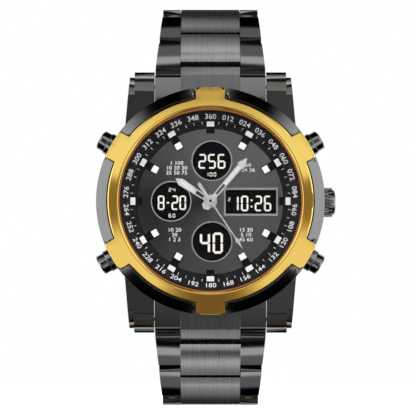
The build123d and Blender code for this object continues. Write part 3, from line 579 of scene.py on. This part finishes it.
class Bench:
    """The bench where pieces are modelled flat, in millimetres, and then set in place."""

    edge_faces = 2
    edge_angle = 35.0
    smooth_angle = 30.0
    curve_steps = 3
    boldness = 0.004

    @staticmethod
    def clear() -> None:
        """Deselect everything."""
        bpy.ops.object.select_all(action="DESELECT")

    @staticmethod
    def pick(*pieces: Piece) -> None:
        """Select the pieces alone, the first one active."""
        Bench.clear()
        for piece in pieces:
            piece.select_set(True)
        bpy.context.view_layer.objects.active = pieces[0]

    @staticmethod
    def bake(piece: Piece) -> None:
        """Apply every modifier of a piece."""
        Bench.pick(piece)
        for modifier in list(piece.modifiers):
            bpy.ops.object.modifier_apply(modifier=modifier.name)

    @staticmethod
    def soften(piece: Piece, width: float) -> None:
        """Round the edges of a piece a little.

        Args:
            piece: The object to round.
            width: The width of the rounding, in the mesh's own units.
        """
        bevel = piece.modifiers.new("edge", "BEVEL")
        bevel.width = width
        bevel.segments = Bench.edge_faces
        bevel.limit_method = "ANGLE"
        bevel.angle_limit = math.radians(Bench.edge_angle)
        bevel.use_clamp_overlap = True
        Bench.bake(piece)
        bpy.ops.object.shade_smooth_by_angle(angle=math.radians(Bench.smooth_angle))
        piece.modifiers.new("even", "WEIGHTED_NORMAL").keep_sharp = True
        Bench.bake(piece)

    @staticmethod
    def block(length: float, width: float, thick: float, edge: float) -> Piece:
        """Model a flat bar with rounded edges, its foot on the bench.

        Args:
            length: Size along X.
            width: Size along Y.
            thick: Height.
            edge: Radius of its edges.

        Returns:
            The new object.
        """
        Bench.clear()
        bpy.ops.mesh.primitive_cube_add(size=1.0, location=(0, 0, thick / 2))
        piece = bpy.context.object
        piece.scale = (length, width, thick)
        bpy.ops.object.transform_apply(location=True, rotation=True, scale=True)
        Bench.soften(piece, edge)
        return piece

    @staticmethod
    def raise_up(thick: float) -> None:
        """Give the flat mesh in edit mode its height and turn its faces outwards."""
        bpy.ops.mesh.select_all(action="SELECT")
        bpy.ops.mesh.extrude_region_move(TRANSFORM_OT_translate={"value": (0, 0, thick)})
        bpy.ops.mesh.select_all(action="SELECT")
        bpy.ops.mesh.normals_make_consistent(inside=False)
        bpy.ops.object.mode_set(mode="OBJECT")

    @staticmethod
    def stroke(length: float, width: float, thick: float) -> Piece:
        """Model one segment of a digit: a hexagon drawn out to a bar.

        Args:
            length: Size along X, from point to point.
            width: Size along Y.
            thick: Height.

        Returns:
            The new object.
        """
        Bench.clear()
        point = width / math.sqrt(3.0)
        bpy.ops.mesh.primitive_circle_add(vertices=6, radius=point, fill_type="NGON",
                                          rotation=(0, 0, math.radians(30.0)))
        piece = bpy.context.object
        bpy.ops.object.transform_apply(location=True, rotation=True, scale=True)
        for vertex in piece.data.vertices:
            vertex.co.x += math.copysign(length / 2 - point, vertex.co.x)
        bpy.ops.object.mode_set(mode="EDIT")
        Bench.raise_up(thick)
        return piece

    @staticmethod
    def hoop(outer: float, inner: float, thick: float, sides: int = 180) -> Piece:
        """Model a flat ring, its foot on the bench.

        Args:
            outer: Outer radius.
            inner: Inner radius.
            thick: Height.
            sides: Number of sides.

        Returns:
            The new object.
        """
        Bench.clear()
        bpy.ops.mesh.primitive_circle_add(vertices=sides, radius=outer, fill_type="NGON")
        piece = bpy.context.object
        bpy.ops.object.mode_set(mode="EDIT")
        bpy.ops.mesh.select_all(action="SELECT")
        bpy.ops.mesh.inset(thickness=outer - inner, use_even_offset=False)
        bpy.ops.mesh.delete(type="FACE")
        Bench.raise_up(thick)
        return piece

    @staticmethod
    def words(text: str, size: float, thick: float) -> Piece:
        """Model plain printed numbers, centred on the bench.

        Args:
            text: The digits.
            size: The height of the type.
            thick: The height of the print.

        Returns:
            The new object.
        """
        Bench.clear()
        bpy.ops.object.text_add()
        piece = bpy.context.object
        piece.data.body = text
        piece.data.size = size
        piece.data.extrude = thick / 2
        piece.data.offset = size * Bench.boldness
        piece.data.align_x = "CENTER"
        piece.data.align_y = "CENTER"
        piece.data.resolution_u = Bench.curve_steps
        bpy.ops.object.convert(target="MESH")
        return bpy.context.object

    @staticmethod
    def copy(piece: Piece) -> Piece:
        """Return a copy of a piece, with a mesh of its own."""
        twin = piece.copy()
        twin.data = piece.data.copy()
        bpy.context.scene.collection.objects.link(twin)
        return twin

    @staticmethod
    def place(piece: Piece, where: Matrix) -> Piece:
        """Move the mesh of a piece at the origin to its place, and return the piece."""
        piece.data.transform(where)
        piece.data.update()
        return piece

    @staticmethod
    def repeat(first: Piece, spots: list[Matrix]) -> list[Piece]:
        """Set a copy of a piece at each of several places, and clear the piece away.

        Args:
            first: The piece, at the origin.
            spots: The placements.

        Returns:
            The copies.
        """
        copies = [Bench.place(Bench.copy(first), spot) for spot in spots]
        bpy.data.objects.remove(first)
        return copies

    @staticmethod
    def join(pieces: list[Piece], name: str) -> Piece:
        """Join pieces into one object of a name, and return it."""
        Bench.pick(*pieces)
        if len(pieces) > 1:
            bpy.ops.object.join()
        piece = bpy.context.object
        piece.name = name
        piece.data.name = name
        return piece


def on_dial(x: float, z: float, height: float, angle: float = 0.0) -> Matrix:
    """Return the placement of a flat piece on the dial.

    Args:
        x: Place towards 3 o'clock.
        z: Place towards 12 o'clock.
        height: Height of its foot above the case back.
        angle: Turn from 3 o'clock towards 12 o'clock, in degrees.

    Returns:
        The matrix from the bench to the watch, in metres.
    """
    turn = Matrix.Rotation(math.radians(angle), 4, "Z")
    stand = Matrix(((1, 0, 0, x), (0, 0, -1, -height), (0, 1, 0, z), (0, 0, 0, 1)))
    return Matrix.Scale(MM, 4) @ stand @ turn


def on_circle(radius: float, clock: float, height: float) -> Matrix:
    """Return the placement of a flat piece on a spoke of the dial.

    Args:
        radius: Distance from the middle.
        clock: Angle from 12 o'clock, clockwise, in degrees.
        height: Height of its foot above the case back.

    Returns:
        The matrix from the bench to the watch, in metres. The bench's Y points outwards.
    """
    angle = math.radians(90.0 - clock)
    return on_dial(radius * math.cos(angle), radius * math.sin(angle), height, -clock)


@dataclass
class Polisher:
    """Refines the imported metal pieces: merged, rounded at their edges and smoothed."""

    finishes: Finishes
    merge_distance: float = 0.000002

    def refine(self, node: str, finish: str, edge: float) -> None:
        """Stand a refined copy in for a node.

        Args:
            node: The node's name.
            finish: The finish of the copy.
            edge: Rounding of its edges in millimetres.
        """
        source = frame["nodes"][node]
        twin = Bench.copy(source)
        twin.name = node + "_finish"
        twin.data.name = twin.name
        twin.parent = None
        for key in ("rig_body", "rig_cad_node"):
            if key in twin:
                del twin[key]
        Bench.pick(twin)
        bpy.ops.object.mode_set(mode="EDIT")
        bpy.ops.mesh.select_all(action="SELECT")
        bpy.ops.mesh.remove_doubles(threshold=self.merge_distance)
        bpy.ops.object.mode_set(mode="OBJECT")
        Bench.soften(twin, edge * MM)
        self.finishes.dress(twin, finish)
        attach(twin, source["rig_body"])
        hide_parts(node)
        LOG.info("refined %s", node)


# Each refined node, with its finish and the rounding of its edges.
CASE_REFINED = (
    ("case_middle", "case_polish", 0.25),
    ("bezel_base", "bezel_black", 0.12),
    ("bezel_top", "bezel_gold", 0.1),
    ("crown", "button_black", 0.03),
    ("pusher_tubes", "button_black", 0.12),
    *((f"pusher_{hour}", "button_black", 0.1) for hour in (2, 4, 8, 10)),
    ("end_link_12", "end_link_black", 0.15),
    ("end_link_6", "end_link_black", 0.15),
    ("case_back", "steel_back", 0.1),
)
CASE_PLAIN = {
    "crystal": "crystal_clear", "crystal_gasket": "seal_amber", "case_back_gasket": "seal_rubber",
    "case_back_screws": "steel_bright", "crown_tube": "case_polish", "pusher_springs": "steel_bright",
    "lug_spring_bars": "steel_bright",
}


@dataclass
class Case:
    """Case, bezel, crystal, crown and pushers."""

    finishes: Finishes
    polisher: Polisher

    def dress(self) -> None:
        """Give every case piece its finish."""
        for node, finish, edge in CASE_REFINED:
            self.polisher.refine(node, finish, edge)
        self.finishes.dress_nodes(CASE_PLAIN)


MOVEMENT_PLAIN = {
    "movement_holder": "holder_plastic", "movement_plate": "brass", "circuit_board": "board_green",
    "stepper_motor": "copper", "battery": "steel_bright", "battery_strap": "steel_bright",
    "setting_lever": "steel_bright", "winding_stem": "steel_bright", "hour_wheel": "brass",
    "minute_wheel": "brass", "centre_wheel": "brass", "seconds_wheel": "brass",
}


@dataclass
class Movement:
    """The pieces inside the case."""

    finishes: Finishes

    def dress(self) -> None:
        """Give every inner piece its finish."""
        self.finishes.dress_nodes(MOVEMENT_PLAIN)


# The dial's groups of numbers: the middle of the top line, and the lines.
CAPTIONS = (
    ((-7.2, 8.15), ("1 100", "10 20 30", "25 50 75")),
    ((7.2, 7.7), ("10 60", "12 24 36")),
    ((-7.65, -6.1), ("10 20", "30", "1 2 3")),
    ((7.55, -6.1), ("15 30", "5 10", "45 60")),
)
DIAL_PLAIN = {
    "dial": "sunray_grey", "chapter_ring": "chapter_black", "hour_markers": "marker_gloss",
    "display_panel": "display_black",
}


@dataclass
class Dial:
    """Dial, chapter ring, markers and everything printed on them."""

    finishes: Finishes
    polisher: Polisher
    top: float = 8.6
    print_thick: float = 0.02
    frame_edge: float = 0.06
    track_outer: float = 17.2
    track_inner: float = 15.5
    tick_radius: float = 16.85
    tick_size: tuple[float, float, float, float] = (0.12, 0.55, 0.03, 0.01)
    marker_top: float = 9.15
    outer_lume: tuple[float, float, float, float] = (1.6, 1.07, 0.09, 0.04)
    outer_radius: float = 16.5
    inner_lume: tuple[float, float, float, float] = (1.45, 1.3, 0.09, 0.04)
    inner_radius: float = 13.6
    number_count: int = 30
    number_radius: float = 17.95
    number_size: float = 1.5
    number_thick: float = 0.04
    number_lift: float = 0.05
    number_stretch: tuple[float, float] = (1.12, 1.42)
    caption_size: float = 1.12
    caption_stretch: float = 1.15
    caption_pitch: float = 1.03
    ring_foot: tuple[float, float] = (17.25, 9.2)
    ring_crest: tuple[float, float] = (19.05, 11.35)

    def build(self) -> None:
        """Model and dress the dial."""
        self.finishes.dress_nodes(DIAL_PLAIN)
        self.polisher.refine("window_frames", "frame_silver", self.frame_edge)
        self.track()
        self.ticks()
        self.lume()
        self.numbers()
        self.captions()

    def track(self) -> None:
        """Model the printed black track round the dial."""
        ring = Bench.hoop(self.track_outer, self.track_inner, self.print_thick)
        Bench.place(ring, on_dial(0, 0, self.top))
        self.finishes.mount([ring], "minute_track", "chapter_black", "case", "chapter_black")

    def ticks(self) -> None:
        """Model the minute ticks between the markers."""
        height = self.top + self.print_thick
        spots = [on_circle(self.tick_radius, minute * MINUTE, height) for minute in range(60) if minute % 5]
        ticks = Bench.repeat(Bench.block(*self.tick_size), spots)
        self.finishes.mount(ticks, "minute_ticks", "print_white", "case", "chapter_black")

    def lume(self) -> None:
        """Model the white blocks on the hour markers: twelve outside, eight inside."""
        outer = [on_circle(self.outer_radius, hour * HOUR, self.marker_top) for hour in range(12)]
        inner = [on_circle(self.inner_radius, hour * HOUR, self.marker_top) for hour in range(12) if hour % 3]
        blocks = Bench.repeat(Bench.block(*self.outer_lume), outer)
        blocks += Bench.repeat(Bench.block(*self.inner_lume), inner)
        self.finishes.mount(blocks, "marker_lume", "lume_white", "case", "marker_black")

    def numbers(self) -> None:
        """Model plain numbers on the sloping ring."""
        run = self.ring_crest[0] - self.ring_foot[0]
        rise = self.ring_crest[1] - self.ring_foot[1]
        lean = Matrix.Rotation(math.atan2(rise, run), 4, "X")
        slope = rise / run * (self.number_radius - self.ring_foot[0])
        height = self.ring_foot[1] + slope + self.number_lift
        step = 360 // self.number_count
        pieces = []
        for clock in range(0, 360, step):
            row = Row.INWARD if 90 < clock < 270 else Row.OUTWARD
            piece = Bench.words(f"{clock or 360:03d}", self.number_size, self.number_thick)
            Bench.place(piece, Matrix.Rotation(math.radians(row.value), 4, "Z"))
            Bench.place(piece, lean @ Matrix.Diagonal((*self.number_stretch, 1.0, 1.0)))
            pieces.append(Bench.place(piece, on_circle(self.number_radius, clock, height)))
        self.finishes.mount(pieces, "chapter_numbers", "print_white", "case", "chapter_black")

    def captions(self) -> None:
        """Model small groups of plain numbers on the dial."""
        stretch = Matrix.Diagonal((self.caption_stretch, 1.0, 1.0, 1.0))
        pieces = []
        for (x, z), lines in CAPTIONS:
            for index, line in enumerate(lines):
                spot = on_dial(x, z - self.caption_pitch * index, self.top + self.print_thick)
                piece = Bench.words(line, self.caption_size, self.print_thick)
                pieces.append(Bench.place(piece, spot @ stretch))
        self.finishes.mount(pieces, "dial_numbers", "print_white", "case", "dial_grey")


@dataclass(frozen=True)
class DigitRow:
    """A row of digits on a display: its text, its middle, and the sizes of its digits."""

    name: str
    text: str
    x: float
    z: float
    wide: float
    tall: float
    gap: float
    stroke: float


DIGIT_ROWS = (
    DigitRow("digits_top", "256", 0.31, 8.6, 1.65, 3.15, 0.4, 0.36),
    DigitRow("digits_left", "8-20", -8.2, -0.25, 1.45, 3.1, 0.23, 0.35),
    DigitRow("digits_right", "10:26", 9.25, -0.4, 1.56, 3.35, 0.4, 0.37),
    DigitRow("digits_bottom", "40", 0.2, -8.85, 2.18, 4.5, 0.54, 0.5),
    DigitRow("digits_top_small", "100", 0.31, 5.8, 0.6, 0.88, 0.22, 0.15),
    DigitRow("digits_left_upper", "24", -8.2, 2.5, 0.6, 0.82, 0.25, 0.15),
    DigitRow("digits_left_lower", "60", -8.2, -3.0, 0.6, 0.85, 0.25, 0.15),
    DigitRow("digits_right_small", "2", 4.0, 0.45, 0.5, 0.8, 0.2, 0.14),
)

# The lit segments of each sign, and the width of the narrow signs as a share of a digit's.
LIT = {"0": "abcdef", "1": "bc", "2": "abdeg", "4": "bcfg", "5": "acdfg", "6": "acdefg", "8": "abcdefg",
       "-": "g"}
NARROW = {":": 0.36, "-": 0.7, "1": 0.36}


@dataclass
class Display:
    """The digits behind the four windows."""

    finishes: Finishes
    height: float = 8.1
    thick: float = 0.04
    segment_gap: float = 0.2
    dot_offset: float = 0.2
    dot_edge: float = 0.02

    def digit(self, sign: str, row: DigitRow, x: float, wide: float) -> list[Piece]:
        """Model one seven-segment digit.

        Args:
            sign: The digit.
            row: The row that it is in.
            x: Its middle towards 3 o'clock.
            wide: Its width.

        Returns:
            One object for each lit segment.
        """
        half_w = (wide - row.stroke) / 2
        half_t = (row.tall - row.stroke) / 2
        spots = {
            "a": (0, half_t, 0), "g": (0, 0, 0), "d": (0, -half_t, 0),
            "f": (-half_w, half_t / 2, 90), "b": (half_w, half_t / 2, 90),
            "e": (-half_w, -half_t / 2, 90), "c": (half_w, -half_t / 2, 90),
        }
        pieces = []
        for name in LIT[sign]:
            dx, dz, turn = spots[name]
            length = max(half_t if turn else 2 * half_w, row.stroke) - row.stroke * self.segment_gap
            piece = Bench.stroke(length, row.stroke, self.thick)
            pieces.append(Bench.place(piece, on_dial(x + dx, row.z + dz, self.height, turn)))
        return pieces

    def colon(self, row: DigitRow, x: float) -> list[Piece]:
        """Return the two dots of a colon, whose middle lies at x in its row."""
        dot = Bench.block(row.stroke, row.stroke, self.thick, self.dot_edge)
        offset = row.tall * self.dot_offset
        return Bench.repeat(dot, [on_dial(x, z, self.height) for z in (row.z - offset, row.z + offset)])

    def row(self, row: DigitRow) -> None:
        """Model a row of digits, dashes and colons."""
        widths = [row.wide * NARROW.get(sign, 1.0) for sign in row.text]
        place = row.x - (sum(widths) + row.gap * (len(row.text) - 1)) / 2
        pieces = []
        for sign, width in zip(row.text, widths):
            middle = place + width / 2
            if sign == ":":
                pieces += self.colon(row, middle)
            else:
                pieces += self.digit(sign, row, middle, row.stroke if sign == "1" else width)
            place += width + row.gap
        self.finishes.mount(pieces, row.name, "digit_cream", "case", "display_black")

    def build(self) -> None:
        """Model every display."""
        for row in DIGIT_ROWS:
            self.row(row)


@dataclass(frozen=True)
class Strip:
    """A luminous strip: its hand's body and angle, and its own ends, width and height."""

    name: str
    body: str
    clock: float
    start: float
    end: float
    width: float
    height: float


HAND_PLAIN = {"hour_hand": "hand_silver", "minute_hand": "hand_silver", "second_hand": "silver"}
HAND_STRIPS = (
    Strip("hour_hand_lume", "hour_hand", 303.0, 3.7, 7.7, 1.05, 9.4),
    Strip("minute_hand_lume", "minute_hand", 40.5, 4.6, 9.8, 0.7, 9.95),
)


@dataclass
class Hands:
    """The three hands, their luminous strips and the cap on the middle."""

    finishes: Finishes
    strip_thick: float = 0.05
    strip_edge: float = 0.02
    cap_radii: Triple = (0.8, 0.3, 0.02)
    cap_thick: float = 0.12
    cap_height: float = 10.41
    cap_sides: int = 48

    def dress(self) -> None:
        """Dress the hands and model what is on them."""
        self.finishes.dress_nodes(HAND_PLAIN)
        for strip in HAND_STRIPS:
            self.strip(strip)
        rim, middle, bore = self.cap_radii
        self.cap("centre_ring", rim, middle, "silver")
        self.cap("centre_dot", middle, bore, "marker_gloss")

    def cap(self, name: str, outer: float, inner: float, finish: str) -> None:
        """Model a ring on the middle of the second hand.

        Args:
            name: The piece's name.
            outer: Outer radius.
            inner: Inner radius.
            finish: Its finish.
        """
        ring = Bench.hoop(outer, inner, self.cap_thick, self.cap_sides)
        Bench.place(ring, on_dial(0, 0, self.cap_height))
        self.finishes.mount([ring], name, finish, "second_hand", "hand_silver")

    def strip(self, strip: Strip) -> None:
        """Model the luminous strip of a hand."""
        bar = Bench.block(strip.width, strip.end - strip.start, self.strip_thick, self.strip_edge)
        Bench.place(bar, on_circle((strip.start + strip.end) / 2, strip.clock, strip.height))
        self.finishes.mount([bar], strip.name, "hand_lume", strip.body, "hand_silver")


@dataclass
class Bracelet:
    """The two rows of links and the folding clasp."""

    finishes: Finishes
    polisher: Polisher
    links_a_side: int = 8
    link_edge: float = 0.12
    cover_edge: float = 0.15
    blade_edge: float = 0.08

    def dress(self) -> None:
        """Refine and dress every link and the clasp."""
        for side in ("12", "6"):
            for index in range(1, self.links_a_side + 1):
                self.polisher.refine(f"link_{side}_{index}", "link_black", self.link_edge)
        self.polisher.refine("clasp_cover", "link_black", self.cover_edge)
        self.polisher.refine("clasp_inner_blade", "blade_steel", self.blade_edge)
        self.polisher.refine("clasp_middle_blade", "blade_steel", self.blade_edge)
        self.finishes.dress_nodes({"clasp_spring_bar": "steel_bright"})


@dataclass(frozen=True)
class Lamp:
    """A soft square lamp: its place and size in metres, and its power in watts."""

    name: str
    place: Triple
    size: float
    power: float


LAMPS = (
    Lamp("key", (-0.35, -0.45, 0.45), 0.35, 4.0),
    Lamp("fill", (0.45, -0.4, 0.3), 0.35, 3.0),
    Lamp("back", (0.1, 0.5, 0.4), 0.4, 2.0),
)


@dataclass(frozen=True)
class Cards:
    """The soft cards in the world that only reflections see.

    Rings, strips, front and behind are in degrees from the viewer's direction. The other steps follow
    the share of a direction that points up, down or sideways.
    """

    gold_ring: Band = Band(22.0, 51.0, 6.0)
    gold_base: float = 0.25
    above_on: Step = Step(0.28, 0.36, 0.7)
    above_off: Step = Step(0.75, 1.0, 0.26)
    below_on: Step = Step(0.05, 0.33, 0.62)
    below_off: Step = Step(0.78, 1.0, 0.7)
    panel_ring: Band = Band(54.0, 98.0, 4.0)
    panel_sides: Step = Step(0.5, 0.8, 1.7)
    panel_foot: Step = Step(0.62, 0.5)
    near_strip: Band = Band(61.0, 72.0, 3.0, 1.8)
    far_strip: Band = Band(72.0, 91.0, 4.0, 0.5)
    strip_ends: Step = Step(0.985, 0.995)
    front: Step = Step(24.0, 12.0, 0.35)
    front_side: Step = Step(-0.3, 0.3)
    behind: Step = Step(116.0, 130.0)

    def inner(self, graph: Graph, angle: Socket, rise: Socket, fall: Socket) -> Socket:
        """Build the cards that the gold ring mirrors: bright at the corners, dim at the sides and the foot.

        Args:
            graph: The world's graph.
            angle: Degrees from the viewer's direction.
            rise: How much of it is up.
            fall: How much of it is down.

        Returns:
            The ring's brightness.
        """
        above = graph.math("SUBTRACT", graph.step(rise, self.above_on), graph.step(rise, self.above_off))
        below = graph.math("SUBTRACT", graph.step(fall, self.below_on), graph.step(fall, self.below_off))
        return graph.times(graph.band(angle, self.gold_ring), graph.total(self.gold_base, above, below))

    def outer(self, graph: Graph, angle: Socket, side: Socket, rise: Socket, fall: Socket) -> Socket:
        """Build the cards that the black pieces mirror: a panel at each side, a strip above and one below.

        Args:
            graph: The world's graph.
            angle: Degrees from the viewer's direction.
            side: How much of the direction is sideways.
            rise: How much of it is up.
            fall: How much of it is down.

        Returns:
            The ring's brightness.
        """
        panels = graph.times(graph.step(side, self.panel_sides), graph.step(fall, self.panel_foot))
        panels = graph.times(graph.band(angle, self.panel_ring), panels)
        strips = graph.total(graph.band(angle, self.near_strip), graph.band(angle, self.far_strip))
        steep = graph.math("MAXIMUM", rise, fall)
        return graph.total(panels, graph.times(graph.step(steep, self.strip_ends), strips))


@dataclass
class Studio:
    """Floor, light and camera."""

    floor_z: float
    cards: Cards = Cards()
    floor_size: float = 6.0
    floor_greys: tuple[float, float] = (0.84, 0.86)
    floor_stops: tuple[float, float] = (0.3, 0.7)
    floor_fineness: float = 40.0
    floor_roughness: float = 0.9
    floor_white: float = 0.75
    ambient: float = 0.25
    least_reach: float = 0.001
    warm_ring: Band = Band(36.0, 51.0, 6.0)
    warm_stops: tuple[float, float] = (0.05, 0.75)
    warm_light: tuple[float, float, float, float] = (1.0, 0.72, 0.45, 1.0)
    lens: float = 205.0
    sensor: float = 36.0
    distance: float = 500.0
    elevation: float = -4.0
    aim: Triple = (-0.52, -12.5, -1.68)
    nearest: float = 0.01

    def build(self) -> None:
        """Set up the floor, the world, the lamps and the camera."""
        self.floor()
        self.world()
        self.lamps()
        self.camera()

    def floor(self) -> None:
        """Lay a plain white floor, which reflections leave out so that it doesn't whiten the black metal."""
        Bench.clear()
        bpy.ops.mesh.primitive_plane_add(size=self.floor_size, location=(0, 0, self.floor_z))
        floor = bpy.context.object
        floor.name = "floor"
        shader = Shader("floor_white")
        value = shader.noise(shader.places(), self.floor_fineness)
        stops = zip(self.floor_stops, (grey(level) for level in self.floor_greys))
        shader.give("Base Color", shader.ramp(value, list(stops)))
        shader.give("Roughness", self.floor_roughness)
        path = shader.node("LightPath")
        seen = shader.math("MAXIMUM", path.outputs["Is Camera Ray"], path.outputs["Is Glossy Ray"])
        seen = shader.math("MAXIMUM", seen, path.outputs["Is Transmission Ray"])
        shader.give("Emission Color", grey(1.0))
        shader.give("Emission Strength", shader.times(seen, self.floor_white))
        floor.data.materials.append(shader.material)
        floor.visible_glossy = False
        floor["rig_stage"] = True

    def world(self) -> None:
        """Set a studio round the watch: white behind it, dark with soft cards on the viewer's side.

        Metal mirrors the cards. The rest is lit by an even, dim surround and by the lamps.
        """
        world = bpy.data.worlds.new("studio")
        bpy.context.scene.world = world
        world.use_nodes = True
        graph = Graph(world.node_tree)
        parts = graph.node("SeparateXYZ", Vector=graph.node("TexCoord").outputs["Generated"])
        x, y, z = (parts.outputs[axis] for axis in "XYZ")
        angle = graph.math("DEGREES", graph.math("ARCCOSINE", graph.times(y, -1.0)))
        reach = graph.math("MAXIMUM", graph.length(x, z), self.least_reach)
        side = graph.math("DIVIDE", graph.math("ABSOLUTE", x), reach)
        rise = graph.math("DIVIDE", z, reach)
        fall = graph.times(rise, -1.0)
        inner = self.cards.inner(graph, angle, rise, fall)
        outer = self.cards.outer(graph, angle, side, rise, fall)
        front = graph.times(graph.step(angle, self.cards.front), graph.step(x, self.cards.front_side))
        level = graph.total(inner, outer, front, graph.step(angle, self.cards.behind))
        path = graph.node("LightPath")
        is_glossy = path.outputs["Is Glossy Ray"]
        seen = graph.math("MAXIMUM", path.outputs["Is Camera Ray"], path.outputs["Is Transmission Ray"])
        warmth = graph.times(graph.band(angle, self.warm_ring), graph.math("SUBTRACT", 1.0, inner))
        warmth = graph.times(warmth, is_glossy)
        back = graph.tree.nodes["Background"]
        stops = zip(self.warm_stops, (grey(1.0), self.warm_light))
        graph.feed(back, "Color", graph.ramp(warmth, list(stops)))
        choice = graph.node("Mix", Factor=is_glossy)
        graph.feed(choice, "2", graph.math("MAXIMUM", seen, self.ambient))
        graph.feed(choice, "3", level)
        graph.feed(back, "Strength", choice.outputs[0])

    def lamps(self) -> None:
        """Hang soft lamps round the watch, hidden from reflections."""
        for lamp in LAMPS:
            light = bpy.data.lights.new(lamp.name, "AREA")
            light.energy = lamp.power
            light.size = lamp.size
            holder = bpy.data.objects.new(lamp.name, light)
            bpy.context.scene.collection.objects.link(holder)
            holder.location = lamp.place
            holder.rotation_euler = (-Vector(lamp.place)).to_track_quat("-Z", "Y").to_euler()
            holder.visible_glossy = False

    def camera(self) -> None:
        """Set the camera at the photograph's viewing angle."""
        data = bpy.data.cameras.new("camera")
        data.lens = self.lens
        data.sensor_width = self.sensor
        data.clip_start = self.nearest
        camera = bpy.data.objects.new("camera", data)
        bpy.context.scene.collection.objects.link(camera)
        target = Vector(self.aim) * MM
        angle = math.radians(self.elevation)
        away = Vector((0, -math.cos(angle), math.sin(angle))) * self.distance * MM
        camera.location = target + away
        camera.rotation_euler = (-away).to_track_quat("-Z", "Y").to_euler()
        bpy.context.scene.camera = camera


def write_sizes() -> None:
    """Define a helper that turns a box into lists of numbers; nothing is written.
    """
    def plain(box: object) -> list[list[float]]:
        """Return a box as lists of numbers."""
        return [[float(value) for value in corner] for corner in box]


def main() -> None:
    """Build the watch and its studio."""
    cad_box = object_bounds()
    finishes = Finishes()
    polisher = Polisher(finishes)
    Case(finishes, polisher).dress()
    Movement(finishes).dress()
    Dial(finishes, polisher).build()
    Display(finishes).build()
    Hands(finishes).dress()
    Bracelet(finishes, polisher).dress()
    low = min(corner[2] for corner in cad_box)
    Studio(low).build()
    bpy.context.scene.view_settings.view_transform = "Standard"
    write_sizes()


if __name__ == "__main__":
    main()
